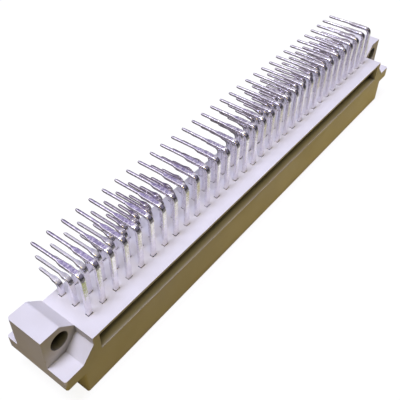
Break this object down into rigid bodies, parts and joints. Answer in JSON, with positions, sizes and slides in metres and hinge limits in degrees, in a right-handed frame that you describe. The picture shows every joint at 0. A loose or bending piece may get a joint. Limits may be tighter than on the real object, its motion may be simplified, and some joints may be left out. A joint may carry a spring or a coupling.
{
  "type": "backplane connector",
  "caption": "Angled three-row male backplane connector: a moulded insulator with end mounting lugs, and right-angle pin contacts with solder tails.",
  "frame": {"origin": "midway between the centres of the two mounting holes, on the lugs' board-side faces", "axes": "+X along the row of contacts, +Y out of the seat face into the circuit board, +Z away from the mating side, towards the bends of the contacts"},
  "size_m": [0.0944, 0.0121, 0.0177],
  "materials": {
    "moulded_insulator": "fine moulded, satin",
    "tinned_contact": "tin plate over copper alloy"
  },
  "bodies": {
    "root": {"insulator_housing": "moulded_insulator", "long_contacts_01_02": "tinned_contact", "long_contacts_03_04": "tinned_contact", "long_contacts_05_06": "tinned_contact", "long_contacts_07_08": "tinned_contact", "long_contacts_09_10": "tinned_contact", "long_contacts_11_12": "tinned_contact", "long_contacts_13_14": "tinned_contact", "long_contacts_15_16": "tinned_contact", "long_contacts_17_18": "tinned_contact", "long_contacts_19_20": "tinned_contact", "long_contacts_21_22": "tinned_contact", "long_contacts_23_24": "tinned_contact", "long_contacts_25_26": "tinned_contact", "long_contacts_27_28": "tinned_contact", "long_contacts_29_30": "tinned_contact", "long_contacts_31_32": "tinned_contact", "middle_contacts_01_02": "tinned_contact", "middle_contacts_03_04": "tinned_contact", "middle_contacts_05_06": "tinned_contact", "middle_contacts_07_08": "tinned_contact", "middle_contacts_09_10": "tinned_contact", "middle_contacts_11_12": "tinned_contact", "middle_contacts_13_14": "tinned_contact", "middle_contacts_15_16": "tinned_contact", "middle_contacts_17_18": "tinned_contact", "middle_contacts_19_20": "tinned_contact", "middle_contacts_21_22": "tinned_contact", "middle_contacts_23_24": "tinned_contact", "middle_contacts_25_26": "tinned_contact", "middle_contacts_27_28": "tinned_contact", "middle_contacts_29_30": "tinned_contact", "middle_contacts_31_32": "tinned_contact", "short_contacts_01_02": "tinned_contact", "short_contacts_03_04": "tinned_contact", "short_contacts_05_06": "tinned_contact", "short_contacts_07_08": "tinned_contact", "short_contacts_09_10": "tinned_contact", "short_contacts_11_12": "tinned_contact", "short_contacts_13_14": "tinned_contact", "short_contacts_15_16": "tinned_contact", "short_contacts_17_18": "tinned_contact", "short_contacts_19_20": "tinned_contact", "short_contacts_21_22": "tinned_contact", "short_contacts_23_24": "tinned_contact", "short_contacts_25_26": "tinned_contact", "short_contacts_27_28": "tinned_contact", "short_contacts_29_30": "tinned_contact", "short_contacts_31_32": "tinned_contact"}
  },
  "joints": []
}
